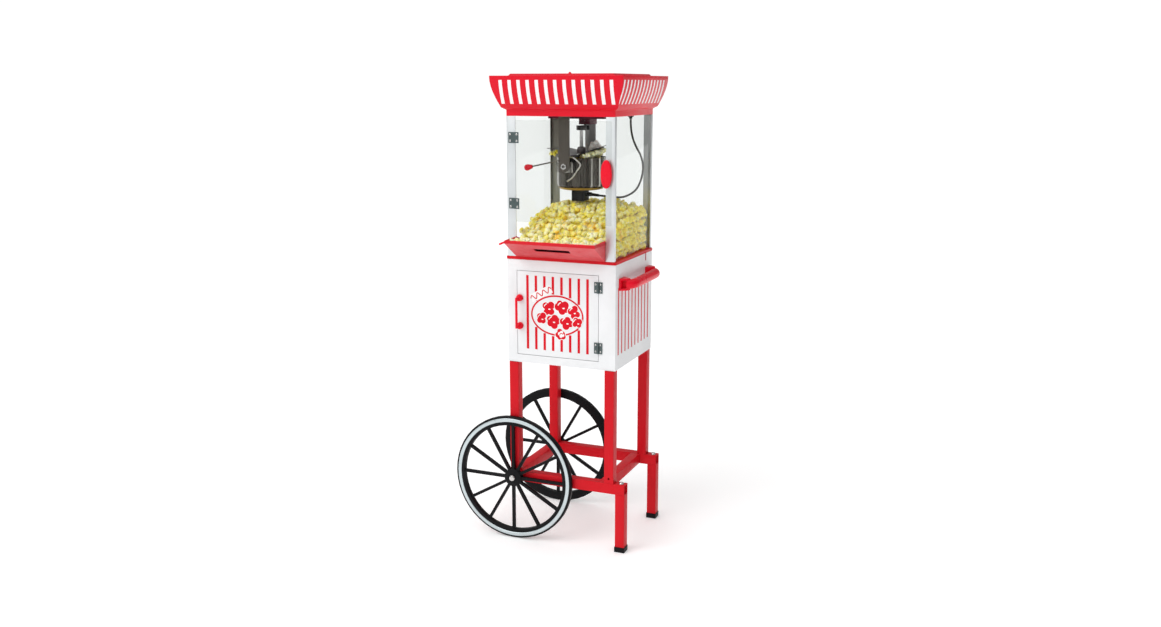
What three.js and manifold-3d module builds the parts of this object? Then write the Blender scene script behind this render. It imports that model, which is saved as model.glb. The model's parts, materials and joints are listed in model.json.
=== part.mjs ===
// A popcorn cart: a glazed kettle case under a flared roof, on a cabinet with one door, carried by a
// stand of square tube that has two spoked wheels at one end and two feet at the other.
// Millimetres, +Z up. Both doors face -Y, the wheels are towards -X and the push handle is on +X.
// Pieces are laid out around the cabinet's centre line, then the whole cart is centred on its box.

import * as THREE from 'three';
import { mergeVertices } from 'three/addons/utils/BufferGeometryUtils.js';
import Module from 'manifold-3d';

const wasm = await Module();
wasm.setup();

// ---------------------------------------------------------------- driving dimensions

const GAP = 0.3; // between pieces that touch
const SHEET = 1.5; // folded sheet metal
const SIDES = [['front', -1], ['back', 1]];
const ENDS = [['left', -1], ['right', 1]];

const TUBE = 25; // square tube of the stand
const TUBE_WALL = 1.5;
const LEG = { x: 132.5, y: 126.5 }; // leg centres
const BEAM = { bottom: 156, top: 183, left: -147, right: 175.5 };
const AXLE_R = 5;
const WHEEL = { r: 167.5, x: -133, outer: 154.6, inner: 140.4, bore: 5.3, hub: 24, spokes: 12 };

const CABINET = { x: 148, y: 137.5, bottom: 481, top: 750 };
const CABINET_DOOR = { left: -121, right: 102, bottom: 503, top: 721, gap: 1, fold: 10 };
const BASE = { x: 148.5, y: 138.8, top: 757.8 };

const CASE = { x: 145, y: 139, top: 1109 }; // outer faces of the corner posts
const POST = { wide: 24, deep: 10, thick: 2 };
const GLASS = 3;
const GLASS_DOOR = { left: -119.2, right: 137, bottom: 847, top: 1100, front: -143.3 };
const TRAY = { x: 120.5, lipY: -210, lipZ: 804, foot: -141, back: -24 };

const ROOF = { neckBottom: 1109.3, neckTop: 1124, flareBottom: 1130, rim: 1207, top: 1212, wall: 2.5 };
const CEILING = { bottom: 1109.3, top: 1111.3 };

const PIVOT = { x: -10.5, z: 984 }; // tilt axis of the kettle, along Y
const POT = { r: 63, wall: 1.5, bottom: 928, rim: 1004 };
const STRAP = { inner: 87, outer: 89, half: 14.75 };
const LID = { hinge: 7, z: 1008.6, r: 62, thick: 1.2, left: 20, right: 22 }; // degrees open as made
const ROLLER = { bottom: 1071.5, top: 1083, driven: 13, driver: 11.5 };
const DRIVE_Y = ROLLER.driven + ROLLER.driver + 0.4; // the motor's shaft is behind the stirrer

const HANDLE = { z: 698.5, bar: 177.5, r: 12.5, bend: 28, reach: 100 }; // push handle

// ---------------------------------------------------------------- materials

function finish(colour, roughness, metalness, opacity = 1) {
  const transparent = opacity < 1;
  return new THREE.MeshStandardMaterial({ color: colour, roughness, metalness, opacity, transparent });
}

const RED_PAINT = finish(0xc81e2a, 0.45, 0.1);
const RED_PLASTIC = finish(0xe0142e, 0.3, 0);
const DARK_RED = finish(0x4a0d16, 0.5, 0.2);
const WHITE_PAINT = finish(0xe9ebea, 0.4, 0.1);
const BLACK_PLASTIC = finish(0x17181a, 0.5, 0);
const ALUMINIUM = finish(0xc4c8ca, 0.4, 0.9);
const DARK_STEEL = finish(0x4a4640, 0.4, 0.8);
const STEEL = finish(0x9a9a96, 0.25, 1);
const BRASS = finish(0xb98a3c, 0.35, 0.9);
const CLEAR = finish(0xeaf2f2, 0.05, 0, 0.25);

// ---------------------------------------------------------------- solids

// A closed three.js geometry as a solid, with its faces turned outwards.
function solid(geometry) {
  const bare = new THREE.BufferGeometry();
  bare.setAttribute('position', geometry.getAttribute('position'));
  bare.setIndex(geometry.getIndex());
  const merged = mergeVertices(bare, 1e-4);
  const position = merged.getAttribute('position');
  const index = merged.getIndex().array;
  const corners = [new THREE.Vector3(), new THREE.Vector3(), new THREE.Vector3()];
  const triangles = [];
  let volume = 0;
  for (let i = 0; i < index.length; i += 3) {
    const [a, b, c] = [index[i], index[i + 1], index[i + 2]];
    if (a === b || b === c || c === a) continue;
    triangles.push([a, b, c]);
    corners.forEach((corner, k) => corner.fromBufferAttribute(position, [a, b, c][k]));
    volume += corners[0].dot(corners[1].cross(corners[2]));
  }
  if (volume < 0) triangles.forEach((triangle) => triangle.reverse());
  return new wasm.Manifold(new wasm.Mesh({
    numProp: 3,
    vertProperties: Float32Array.from(position.array),
    triVerts: Uint32Array.from(triangles.flat()),
  }));
}

const join = (first, ...rest) => rest.reduce((sum, next) => sum.add(next), first);
const cut = (first, ...rest) => rest.reduce((left, next) => left.subtract(next), first);

function boxShape(x0, x1, y0, y1, z0, z1) {
  const geometry = new THREE.BoxGeometry(x1 - x0, y1 - y0, z1 - z0);
  return geometry.translate((x0 + x1) / 2, (y0 + y1) / 2, (z0 + z1) / 2);
}

const box = (...limits) => solid(boxShape(...limits));

// A box that reaches as far to one side of zero as to the other in X and in Y.
const centredBox = (x, y, z0, z1) => box(-x, x, -y, y, z0, z1);

// A round bar along 'x', 'y' or 'z', from a to b, through the point (u, v) of the other two axes.
function bar(axis, r, a, b, u, v, segments = 24) {
  const geometry = new THREE.CylinderGeometry(r, r, b - a, segments);
  const middle = (a + b) / 2;
  if (axis === 'x') geometry.rotateZ(Math.PI / 2).translate(middle, u, v);
  if (axis === 'y') geometry.translate(u, middle, v);
  if (axis === 'z') geometry.rotateX(Math.PI / 2).translate(u, v, middle);
  return solid(geometry);
}

// A profile of [radius, height] points turned around Z.
function turned(profile, segments = 32) {
  const points = profile.map(([r, z]) => new THREE.Vector2(r, z));
  return new THREE.LatheGeometry(points, segments).rotateX(Math.PI / 2);
}

function outline(points) {
  return new THREE.Shape(points.map(([a, b]) => new THREE.Vector2(a, b)));
}

function extruded(shape, depth) {
  return new THREE.ExtrudeGeometry(shape, { depth, bevelEnabled: false, curveSegments: 12 });
}

// Outlines drawn in the YZ plane and in the XZ plane, and given a thickness along the third axis.
function slabX(shape, x0, x1) {
  const turn = new THREE.Matrix4().makeBasis(
    new THREE.Vector3(0, 1, 0), new THREE.Vector3(0, 0, 1), new THREE.Vector3(1, 0, 0));
  return solid(extruded(shape, x1 - x0).applyMatrix4(turn).translate(x0, 0, 0));
}

function slabY(shape, y0, y1) {
  return solid(extruded(shape, y1 - y0).rotateX(Math.PI / 2).translate(0, y1, 0));
}

function slabZ(shape, z0, z1) {
  return solid(extruded(shape, z1 - z0).translate(0, 0, z0));
}

// A round section carried along a curve.
function swept(curve, r, steps, sides) {
  const ring = Array.from({ length: sides }, (_, i) => {
    const angle = (2 * Math.PI * i) / sides;
    return [r * Math.cos(angle), r * Math.sin(angle)];
  });
  const options = { steps, extrudePath: curve, bevelEnabled: false };
  return solid(new THREE.ExtrudeGeometry(outline(ring), options));
}

// A length of hollow rectangular tube, standing on z = 0.
function tube(wide, deep, length) {
  const rectangle = (w, d) => [[-w / 2, -d / 2], [w / 2, -d / 2], [w / 2, d / 2], [-w / 2, d / 2]];
  const shape = outline(rectangle(wide, deep));
  shape.holes.push(outline(rectangle(wide - 2 * TUBE_WALL, deep - 2 * TUBE_WALL)));
  return extruded(shape, length);
}

// ---------------------------------------------------------------- the cart's scene graph

const cart = new THREE.Group();

function piece(name, body, material, parent = cart) {
  const { vertProperties, triVerts } = body.getMesh();
  const geometry = new THREE.BufferGeometry();
  geometry.setAttribute('position', new THREE.BufferAttribute(vertProperties, 3));
  geometry.setIndex(new THREE.BufferAttribute(triVerts, 1));
  geometry.computeVertexNormals();
  const mesh = new THREE.Mesh(geometry, material);
  mesh.name = name;
  parent.add(mesh);
  return mesh;
}

// ---------------------------------------------------------------- stand

function addLegs() {
  const bottom = BEAM.top + GAP;
  const length = CABINET.bottom - GAP - bottom;
  const boltZ = 12.5;
  for (const [side, sy] of SIDES) {
    const bolt = bar('y', 2.6, sy > 0 ? 5 : -20, sy > 0 ? 20 : -5, 0, boltZ, 12);
    for (const [end, sx] of ENDS) {
      const leg = cut(solid(tube(TUBE, TUBE, length)), bolt);
      piece(`leg_${side}_${end}`, leg, RED_PAINT).position.set(sx * LEG.x, sy * LEG.y, bottom);
    }
  }
}

// The beams run from the axle to the feet and carry the legs.
function addBeams() {
  const high = BEAM.top - BEAM.bottom;
  const middle = (BEAM.top + BEAM.bottom) / 2;
  const footX = BEAM.right - TUBE / 2;
  for (const [side, sy] of SIDES) {
    const along = tube(high, TUBE, BEAM.right - BEAM.left).rotateY(Math.PI / 2);
    along.translate(BEAM.left, sy * LEG.y, middle);
    const axleHole = bar('y', AXLE_R + GAP, sy * LEG.y - TUBE, sy * LEG.y + TUBE, WHEEL.x, WHEEL.r);
    const boltHole = bar('z', 3.8, BEAM.bottom - 5, BEAM.top + 5, footX, sy * LEG.y, 16);
    piece(`beam_${side}`, cut(solid(along), axleHole, boltHole), RED_PAINT);
  }
}

// Crossbars join the beams. The axle runs inside the left one.
function addCrossbars() {
  const length = 2 * (LEG.y - TUBE / 2 - GAP);
  const high = BEAM.top - BEAM.bottom;
  const places = { left: WHEEL.x, right: 114.5 };
  for (const [end, x] of Object.entries(places)) {
    const across = tube(TUBE, high, length).rotateX(Math.PI / 2).translate(0, length / 2, 0);
    const crossbar = piece(`crossbar_${end}`, solid(across), RED_PAINT);
    crossbar.position.set(x, 0, BEAM.bottom + high / 2);
  }
}

function addFeet() {
  const x = BEAM.right - TUBE / 2;
  const floor = 3; // thickness of the cap under the tube
  const wide = TUBE / 2 + GAP;
  const domed = [[0, -24], [3.5, -24], [3.5, 0], [7, 0], [6.4, 2.4], [4.2, 4.2], [0, 5]];
  for (const [side, sy] of SIDES) {
    const column = solid(tube(TUBE, TUBE, BEAM.bottom - floor - 2 * GAP));
    piece(`foot_${side}`, column, RED_PAINT).position.set(x, sy * LEG.y, floor + GAP);
    const cup = cut(centredBox(wide + 1, wide + 1, 0, 14), centredBox(wide, wide, floor, 20));
    piece(`foot_cap_${side}`, cup, BLACK_PLASTIC).position.set(x, sy * LEG.y, 0);
    const bolt = piece(`foot_bolt_${side}`, solid(turned(domed, 16)), STEEL);
    bolt.position.set(x, sy * LEG.y, BEAM.top + GAP);
  }
}

// The axle is a plain rod with a domed push-on cap at each end, outside the wheel hubs.
function addAxle() {
  const rod = bar('y', AXLE_R, -157, 157, WHEEL.x, WHEEL.r);
  const caps = SIDES.map(([, sy]) => {
    const dome = turned([[0, 0], [8.5, 0], [8.5, 2], [6.5, 4.6], [0, 6]], 20);
    dome.rotateX(sy > 0 ? -Math.PI / 2 : Math.PI / 2);
    return solid(dome.translate(WHEEL.x, sy * 156.5, WHEEL.r));
  });
  piece('axle', join(rod, ...caps), STEEL);
}

// A moulded wheel: rim and tyre in one, straight spokes, and a hub. Turned around Z, then stood up.
function wheelBody() {
  const depth = WHEEL.outer - WHEEL.inner;
  const face = depth / 2;
  const rim = solid(turned([
    [143.5, -face], [165, -face], [WHEEL.r, -face + 2.5], [WHEEL.r, face - 2.5], [165, face],
    [162.5, face], [162, face - 1], [152.5, face - 1], [152, face], [143.5, face], [143.5, -face],
  ], 48));
  const hub = solid(turned([
    [0, -face - 0.6], [WHEEL.hub, -face - 0.6], [WHEEL.hub, face - 1], [14, face + 1],
    [0, face + 1]], 24));
  const spokes = Array.from({ length: WHEEL.spokes }, (_, i) => {
    const spoke = boxShape(18, 146, -3.8, 3.8, -4, 4);
    return solid(spoke.rotateZ((i * 2 * Math.PI) / WHEEL.spokes));
  });
  return cut(join(rim, hub, ...spokes), bar('z', WHEEL.bore, -20, 20, 0, 0));
}

function addWheels() {
  const middle = (WHEEL.outer + WHEEL.inner) / 2;
  for (const [side, sy] of SIDES) {
    const wheel = piece(`wheel_${side}`, wheelBody(), BLACK_PLASTIC);
    wheel.rotation.x = (-sy * Math.PI) / 2;
    wheel.position.set(WHEEL.x, sy * middle, WHEEL.r);
  }
}

// ---------------------------------------------------------------- hinges

// A butt hinge on a vertical pin at the origin, closed flat on y = flat. One leaf reaches to -X and
// one to +X. The fixed leaf has the end knuckles and the pin, and the other has the middle knuckle.
function hingeLeaves(fixedReach, movingReach, flat, high, back) {
  const knuckle = high / 3;
  const pinR = 1.2;
  const knuckleR = 2.6;
  const leaf = (reach, from, depth) => (reach < 0
    ? box(reach, -from, flat - SHEET - depth, flat - depth, 0, high)
    : box(from, reach, flat - SHEET - depth, flat - depth, 0, high));
  const clear = (z0, z1) => bar('z', knuckleR + GAP, z0, z1, 0, 0, 16);
  const lower = bar('z', knuckleR, 0, knuckle, 0, 0, 16);
  const upper = bar('z', knuckleR, 2 * knuckle, high, 0, 0, 16);
  const pin = bar('z', pinR, 0, high, 0, 0, 12);
  const fixed = join(
    cut(leaf(fixedReach, 0.4, 0), clear(knuckle - GAP, 2 * knuckle + GAP)), lower, upper, pin);
  const middle = bar('z', knuckleR, knuckle + GAP, 2 * knuckle - GAP, 0, 0, 16);
  const moving = join(
    cut(leaf(movingReach, 0.4, back), clear(-1, knuckle + GAP), clear(2 * knuckle - GAP, high + 1)), middle);
  return [fixed, cut(moving, bar('z', pinR + GAP, -1, high + 1, 0, 0, 12))];
}

// ---------------------------------------------------------------- cabinet

function addCabinet() {
  const { x, y, bottom, top } = CABINET;
  const { left, right, gap } = CABINET_DOOR;
  const shell = cut(
    centredBox(x, y, bottom, top),
    centredBox(x - SHEET, y - SHEET, bottom + SHEET, top + 5),
    box(left - gap, right + gap, -y - 5, -y + 5, CABINET_DOOR.bottom - gap, CABINET_DOOR.top + gap));
  piece('cabinet_shell', shell, WHITE_PAINT);
}

const CABINET_HINGE = { x: CABINET_DOOR.right + 0.5, y: -141, high: 28, at: [523, 677.5] };

function addCabinetDoor() {
  const { left, right, bottom, top, fold } = CABINET_DOOR;
  const face = -CABINET.y;
  const door = cut(
    box(left, right, face, face + fold, bottom, top),
    box(left + SHEET, right - SHEET, face + SHEET, face + fold + 5, bottom + SHEET, top - SHEET));
  piece('cabinet_door', door, WHITE_PAINT);
  CABINET_HINGE.at.forEach((z, i) => {
    const flat = face - GAP - CABINET_HINGE.y;
    const [fixed, moving] = hingeLeaves(11, -11, flat, CABINET_HINGE.high, 0);
    const level = ['lower', 'upper'][i];
    const at = [CABINET_HINGE.x, CABINET_HINGE.y, z];
    piece(`cabinet_hinge_${level}_frame`, fixed, DARK_STEEL).position.set(...at);
    piece(`cabinet_hinge_${level}_door`, moving, DARK_STEEL).position.set(...at);
  });
}

// A pull with a round foot at each end and a thin upright grip standing off the door.
function addDoorHandle() {
  const x = -113;
  const half = 36.5; // from the middle to each foot
  const middle = 614.5;
  const gripR = 3.2;
  const face = -CABINET.y - GAP;
  const grip = -161;
  const boss = [[0, 0], [9, 0], [9.3, 3], [8.6, 8], [6.2, 12], [0, 13.5]];
  const feet = [-half, half].map((z) => solid(turned(boss, 20).rotateX(Math.PI / 2)
    .translate(x, face, middle + z)));
  const posts = [-half, half].map((z) => bar('y', gripR, grip, face - 9, x, middle + z, 16));
  const stem = bar('z', gripR, middle - half - gripR, middle + half + gripR, x, grip, 16);
  piece('cabinet_door_handle', join(stem, ...feet, ...posts), RED_PLASTIC);
}

// The bar runs along the cabinet's side and bends in to a foot at each end.
function addPushHandle() {
  const { z, bar: out, r, bend, reach } = HANDLE;
  const wall = CABINET.x + GAP;
  const straight = reach - bend;
  const path = new THREE.CurvePath();
  const point = (x, y) => new THREE.Vector3(x, y, z);
  const corner = (sy) => [
    point(out - bend, sy * reach), point(out, sy * reach), point(out, sy * straight)];
  const [a, b, c] = corner(-1);
  const [f, e, d] = corner(1);
  path.add(new THREE.LineCurve3(point(wall, -reach), a));
  path.add(new THREE.QuadraticBezierCurve3(a, b, c));
  path.add(new THREE.LineCurve3(c, d));
  path.add(new THREE.QuadraticBezierCurve3(d, e, f));
  path.add(new THREE.LineCurve3(f, point(wall, reach)));
  const grip = swept(path, r, 40, 14);
  const feet = SIDES.map(([, sy]) => {
    const rim = [[wall, -reach - 16], [wall + 4, -reach - 16], [out - 12, -reach - 8],
      [out - 6, -reach + 4], [wall + 4, -reach + 18], [wall, -reach + 18]];
    const block = slabZ(outline(rim.map(([px, py]) => [px, -sy * py])), z - 15, z + 15);
    const edge = sy * (reach + 30);
    const deep = sy * (reach - 2);
    const pocket = box(wall + 5, wall + 17, Math.min(edge, deep), Math.max(edge, deep), z - 10, z + 11);
    return [block, pocket];
  });
  const whole = join(grip, ...feet.map(([block]) => block));
  const trimmed = cut(whole, box(100, wall, -200, 200, z - 60, z + 60), ...feet.map(([, p]) => p));
  piece('push_handle', trimmed, RED_PLASTIC);
}

// ---------------------------------------------------------------- glazed case

// An inverted shallow pan, with a short tab folded down over the cabinet's right side.
function addBasePlate() {
  const bottom = CABINET.top + GAP;
  const { x, y, top } = BASE;
  const pan = cut(centredBox(x, y, bottom, top), centredBox(x - 2, y - 2, bottom - 5, top - SHEET));
  const tab = box(CABINET.x + GAP, CABINET.x + GAP + 1, 83.5, 86.5, 731, bottom + 2);
  piece('base_plate', join(pan, tab), RED_PAINT);
}

function addPosts() {
  const bottom = BASE.top + GAP;
  const { wide, deep, thick } = POST;
  const angle = [[0, 0], [wide, 0], [wide, thick], [thick, thick], [thick, deep], [0, deep]];
  for (const [side, sy] of SIDES) {
    for (const [end, sx] of ENDS) {
      const corner = outline(angle.map(([a, b]) => [-sx * a, -sy * b]));
      const post = piece(`post_${side}_${end}`, slabZ(corner, bottom, CASE.top), ALUMINIUM);
      post.position.set(sx * CASE.x, sy * CASE.y, 0);
    }
  }
}

// Three fixed panes stand inside the posts.
function addPanes() {
  const bottom = BASE.top + GAP;
  const outX = CASE.x - POST.thick - GAP;
  const outY = CASE.y - POST.thick - GAP;
  const top = CASE.top - GAP;
  piece('pane_left', box(-outX, -outX + GLASS, -outY, outY, bottom, top), CLEAR);
  piece('pane_right', box(outX - GLASS, outX, -outY, outY, bottom, top), CLEAR);
  const between = outX - GLASS - GAP;
  piece('pane_back', box(-between, between, outY - GLASS, outY, bottom, top), CLEAR);
}

const GLASS_HINGE = { x: -122.6, y: -142.6, high: 27, at: [879, 1043] };

function addGlassDoor() {
  const { left, right, bottom, top, front } = GLASS_DOOR;
  piece('glass_door', box(left, right, front, front + GLASS, bottom, top), CLEAR);
  GLASS_HINGE.at.forEach((z, i) => {
    const flat = -CASE.y - GAP - GLASS_HINGE.y;
    const back = flat + GLASS_HINGE.y - front + GAP;
    const [fixed, moving] = hingeLeaves(-17, 13, flat, GLASS_HINGE.high, back);
    const level = ['lower', 'upper'][i];
    const at = [GLASS_HINGE.x, GLASS_HINGE.y, z];
    piece(`glass_hinge_${level}_post`, fixed, DARK_STEEL).position.set(...at);
    piece(`glass_hinge_${level}_door`, moving, DARK_STEEL).position.set(...at);
  });
  const oval = new THREE.Shape();
  oval.absellipse(0, 0, 11.8, 32, 0, 2 * Math.PI);
  const bevel = { depth: 3, bevelThickness: 2.5, bevelSize: 2.5, bevelSegments: 2, curveSegments: 14 };
  const knob = new THREE.ExtrudeGeometry(oval, bevel).rotateX(Math.PI / 2);
  const mesh = piece('glass_door_knob', solid(knob), RED_PLASTIC);
  mesh.position.set(125.5, front - GAP - bevel.bevelThickness, 973);
}

// A scoop of folded sheet that stands in the gap under the glass door and draws out to the front.
function addServingTray() {
  const { x, lipY, lipZ, foot, back } = TRAY;
  const bottom = BASE.top + GAP;
  const floor = box(-x, x, foot, back, bottom, bottom + SHEET);
  const slope = slabX(outline([[foot, bottom], [foot + 2, bottom], [lipY + 2, lipZ],
    [lipY + 2, lipZ + 2], [lipY - 0.5, lipZ + 2], [lipY - 0.5, lipZ - 4]]), -x, x);
  const side = outline([[foot, bottom], [back, bottom], [back, bottom + 14], [foot + 30, 800],
    [foot + 1, 808], [lipY, lipZ + 2], [lipY, lipZ - 2]]);
  const slot = box(-52, 44, lipY - 10, foot - 10, 779, 787);
  const walls = [slabX(side, -x, -x + SHEET), slabX(side, x - SHEET, x)];
  piece('serving_tray', cut(join(floor, slope, ...walls), slot), RED_PAINT);
}

// ---------------------------------------------------------------- roof

// A square-cornered shell: the profile is turned in four steps, then narrowed along Y by a constant.
function addCanopy() {
  const { neckBottom, neckTop, flareBottom, rim, top, wall } = ROOF;
  const narrowing = 5.5;
  const flare = (inset) => Array.from({ length: 7 }, (_, i) => {
    const s = i / 6;
    const z = flareBottom + (rim - inset - flareBottom) * s;
    return [CASE.x + 10 + 21 * Math.sin((Math.PI / 2) * s) - inset, z];
  });
  const outer = [[CASE.x, neckBottom], [CASE.x, neckTop], ...flare(0), [CASE.x - 4, rim],
    [CASE.x - 8, top], [0, top]];
  const inner = [[0, top - wall], [CASE.x - 10, top - wall], [CASE.x - 6, rim - wall],
    ...flare(wall).reverse(), [CASE.x - wall, neckTop + wall], [CASE.x - wall, neckBottom]];
  const profile = [...inner, ...outer].map(([half, z]) => new THREE.Vector2(half * Math.SQRT2, z));
  const shell = new THREE.LatheGeometry(profile, 4, Math.PI / 4).rotateX(Math.PI / 2);
  const position = shell.getAttribute('position');
  for (let i = 0; i < position.count; i++) {
    const y = position.getY(i);
    if (Math.abs(y) > 1) position.setY(i, y - Math.sign(y) * narrowing);
  }
  piece('canopy', solid(shell), RED_PLASTIC);
}

function addCeiling() {
  const x = CASE.x - ROOF.wall - GAP;
  const y = x - 5.5;
  const hole = bar('z', 3.4, CEILING.bottom - 5, CEILING.top + 5, 0, DRIVE_Y, 16);
  piece('ceiling_plate', cut(centredBox(x, y, CEILING.bottom, CEILING.top), hole), WHITE_PAINT);
}

// The motor stands in the roof, on the ceiling plate, over a housing that hides its gearbox.
function addMotor() {
  const hung = CEILING.bottom - GAP;
  const through = bar('z', 3.4, 1070, 1120, 0, DRIVE_Y, 16);
  const pan = centredBox(76, 38, 1101, hung);
  const gearbox = box(-15, 15, 19, 69, 1085, 1104);
  piece('motor_housing', cut(join(pan, gearbox), through), DARK_RED);
  const can = bar('z', 27, CEILING.top + GAP, 1150, 0, DRIVE_Y, 28);
  piece('stirrer_motor', cut(can, bar('z', 3.4, 1100, 1122, 0, DRIVE_Y, 16)), STEEL);
  const roller = bar('z', ROLLER.driver, ROLLER.bottom, ROLLER.top, 0, DRIVE_Y);
  const shaft = bar('z', 3, ROLLER.top - 1, 1121, 0, DRIVE_Y, 16);
  piece('drive_roller', join(roller, shaft), BLACK_PLASTIC);
}

// Flat straps hang from the ceiling and carry the kettle's pivots.
function addStraps() {
  const { inner, outer, half } = STRAP;
  const top = CEILING.bottom - GAP;
  for (const [side, sy] of SIDES) {
    const shape = new THREE.Shape();
    shape.absarc(PIVOT.x, PIVOT.z, half, Math.PI, 2 * Math.PI);
    shape.lineTo(PIVOT.x + half, top);
    shape.lineTo(PIVOT.x - half, top);
    const face = slabY(shape, Math.min(sy * inner, sy * outer), Math.max(sy * inner, sy * outer));
    const y0 = sy > 0 ? inner - 18 : -outer;
    const foot = box(PIVOT.x - half, PIVOT.x + half, y0, y0 + 20, top - 2, top);
    const hole = bar('y', 4.3, sy * 88 - 5, sy * 88 + 5, PIVOT.x, PIVOT.z);
    piece(`strap_${side}`, cut(join(face, foot), hole), DARK_STEEL);
  }
}

// ---------------------------------------------------------------- kettle

// A drawn steel pot with a bridge across its mouth for the stirrer, and a bracket and stud at the
// front and at the back for the pivots.
function addPot() {
  const { r, wall, bottom, rim } = POT;
  const cup = solid(turned([
    [0, bottom], [r - 6, bottom], [r - 1.6, bottom + 2.6], [r, bottom + 8], [r, rim - 2], [r + 1.2, rim - 1],
    [r + 1.2, rim], [r - wall, rim], [r - wall, bottom + 8], [r - 7, bottom + 2], [0, bottom + 2],
  ], 40));
  const bridge = join(box(-5, 5, -r + 0.5, r - 0.5, rim - 0.5, rim + 2), bar('z', 9, rim - 4, rim + 6, 0, 0));
  const brackets = SIDES.map(([, sy]) => {
    const front = STRAP.inner - 0.4;
    const plate = (x0, x1, a, b) => box(x0, x1, Math.min(sy * a, sy * b), Math.max(sy * a, sy * b),
      PIVOT.z - 15, PIVOT.z + 10);
    const stud = bar('y', 4, sy > 0 ? front - 1 : -95, sy > 0 ? 95 : -front + 1, PIVOT.x, PIVOT.z);
    const face = plate(-32, 11, front - 2, front);
    return join(face, plate(-32, -30, 54, front), plate(9, 11, 61.5, front), stud);
  });
  const bore = bar('z', 5, rim - 20, rim + 20, 0, 0);
  piece('kettle_pot', cut(join(cup, bridge, ...brackets), bore), STEEL);
}

function addKettleBase() {
  const top = POT.bottom - GAP;
  const dish = [[0, top - 7], [46, top - 7], [56, top - 4.5], [60.5, top], [0, top]];
  piece('kettle_base', solid(turned(dish, 40)), BRASS);
  piece('heater_box', box(-20, 14, -18, 18, 891, top - 7 - GAP), BLACK_PLASTIC);
}

// A lid is most of a half disc, rolled along its straight edge, with a lifting tab bent down a little.
function lidBody(sx, bend) {
  const { hinge, r, thick } = LID;
  const start = Math.asin(hinge / r);
  const shape = new THREE.Shape();
  shape.absarc(0, 0, r, start - Math.PI / 2, Math.PI / 2 - start);
  const mirrored = outline(shape.getPoints(14).map((p) => [sx * p.x, p.y]));
  const edges = [[-52, -12.8], [12.8, 52]].map(([a, b]) => bar('y', 1.4, a, b, sx * hinge, 0, 10));
  const tabY = -30;
  const root = Math.sqrt(r * r - tabY * tabY) - 2;
  const tab = boxShape(0, 32, tabY - 6, tabY + 6, -thick / 2, thick / 2);
  tab.rotateY(THREE.MathUtils.degToRad(bend)).translate(root, 0, 0).scale(sx, 1, 1);
  const notch = bar('z', 13, -5, 5, 0, 0);
  return cut(join(slabZ(mirrored, -thick / 2, thick / 2), ...edges, solid(tab)), notch);
}

function addLids() {
  const tabBend = { left: 18, right: 4 };
  for (const [end, sx] of ENDS) {
    const frame = new THREE.Group();
    frame.position.set(sx * LID.hinge, 0, LID.z);
    frame.rotation.y = THREE.MathUtils.degToRad(-sx * LID[end]);
    cart.add(frame);
    const lid = piece(`kettle_lid_${end}`, lidBody(sx, tabBend[end]), STEEL, frame);
    lid.position.x = -sx * LID.hinge;
  }
}

// The stirrer hangs in the bridge: a roller at its top, and an arm that sweeps the pot's floor.
function addStirrer() {
  const shaft = bar('z', 4.6, POT.bottom + 4, ROLLER.bottom + 1, 0, 0);
  const arm = box(-52, 52, -3, 3, POT.bottom + 4, POT.bottom + 10);
  const hub = solid(turned([[0, 0], [11, 0], [11.5, 10], [9.5, 15], [5, 17], [0, 17]], 24));
  const roller = bar('z', ROLLER.driven, ROLLER.bottom, ROLLER.top, 0, 0);
  piece('stirrer', join(shaft, arm, hub.translate(0, 0, 1013), roller), STEEL);
}

const TILT_ROD = [ // a bent wire, from its foot on the pot up behind the strap and out to the knob
  [-10, -62.9, 946], [-10, -69, 946], [-5, -75, 948.5], [5, -75, 955], [17, -75, 971], [27, -75, 985],
  [28, -75, 989.5], [25, -75, 993.5], [8, -75, 1006], [1, -75, 1007.5], [-28, -75, 998.4],
  [-66, -75, 989.6], [-104, -75, 981.2],
];

function addTiltHandle() {
  const points = TILT_ROD.map((p) => new THREE.Vector3(...p));
  piece('tilt_handle', swept(new THREE.CatmullRomCurve3(points), 2, 52, 8), STEEL);
  const end = points[points.length - 1];
  const out = end.clone().sub(points[points.length - 2]).normalize();
  const knob = turned([[0, 0], [4.4, 0], [6.2, 6], [8.1, 13], [7.6, 18], [5, 21.4], [0, 22.6]], 20);
  const mesh = piece('tilt_knob', solid(knob), RED_PLASTIC);
  mesh.quaternion.setFromUnitVectors(new THREE.Vector3(0, 0, 1), out);
  mesh.position.copy(end).addScaledVector(out, GAP);
}

function addPivotNuts() {
  for (const [side, sy] of SIDES) {
    const from = STRAP.outer + GAP;
    const nut = bar('y', 7.5, Math.min(sy * from, sy * (from + 5)), Math.max(sy * from, sy * (from + 5)),
      PIVOT.x, PIVOT.z, 6);
    piece(`pivot_nut_${side}`, cut(nut, bar('y', 4 + GAP, -120, 120, PIVOT.x, PIVOT.z)), STEEL);
  }
}

// ---------------------------------------------------------------- kettle's supply

const CORD_R = 2.6;
const PLUG = { start: new THREE.Vector3(15.5, 0, 909), out: new THREE.Vector3(1, 0, -0.085), length: 34 };
const CORD = [ // from the connector, down in a bight, round to the back and up to the gland
  [57, 1.5, 905.4], [64, 7, 904.3], [75, 18, 902], [86, 31, 900], [97, 50, 899.5], [108, 72, 905],
  [116, 86, 913], [121.5, 96, 924], [127, 108, 948], [128.5, 112, 976], [124.5, 105, 1003.5],
  [118, 93, 1023], [113, 80, 1044], [112, 67, 1066], [112, 61, 1086],
];
const GLAND = { x: 112, y: 60, nose: 1099 };

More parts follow.
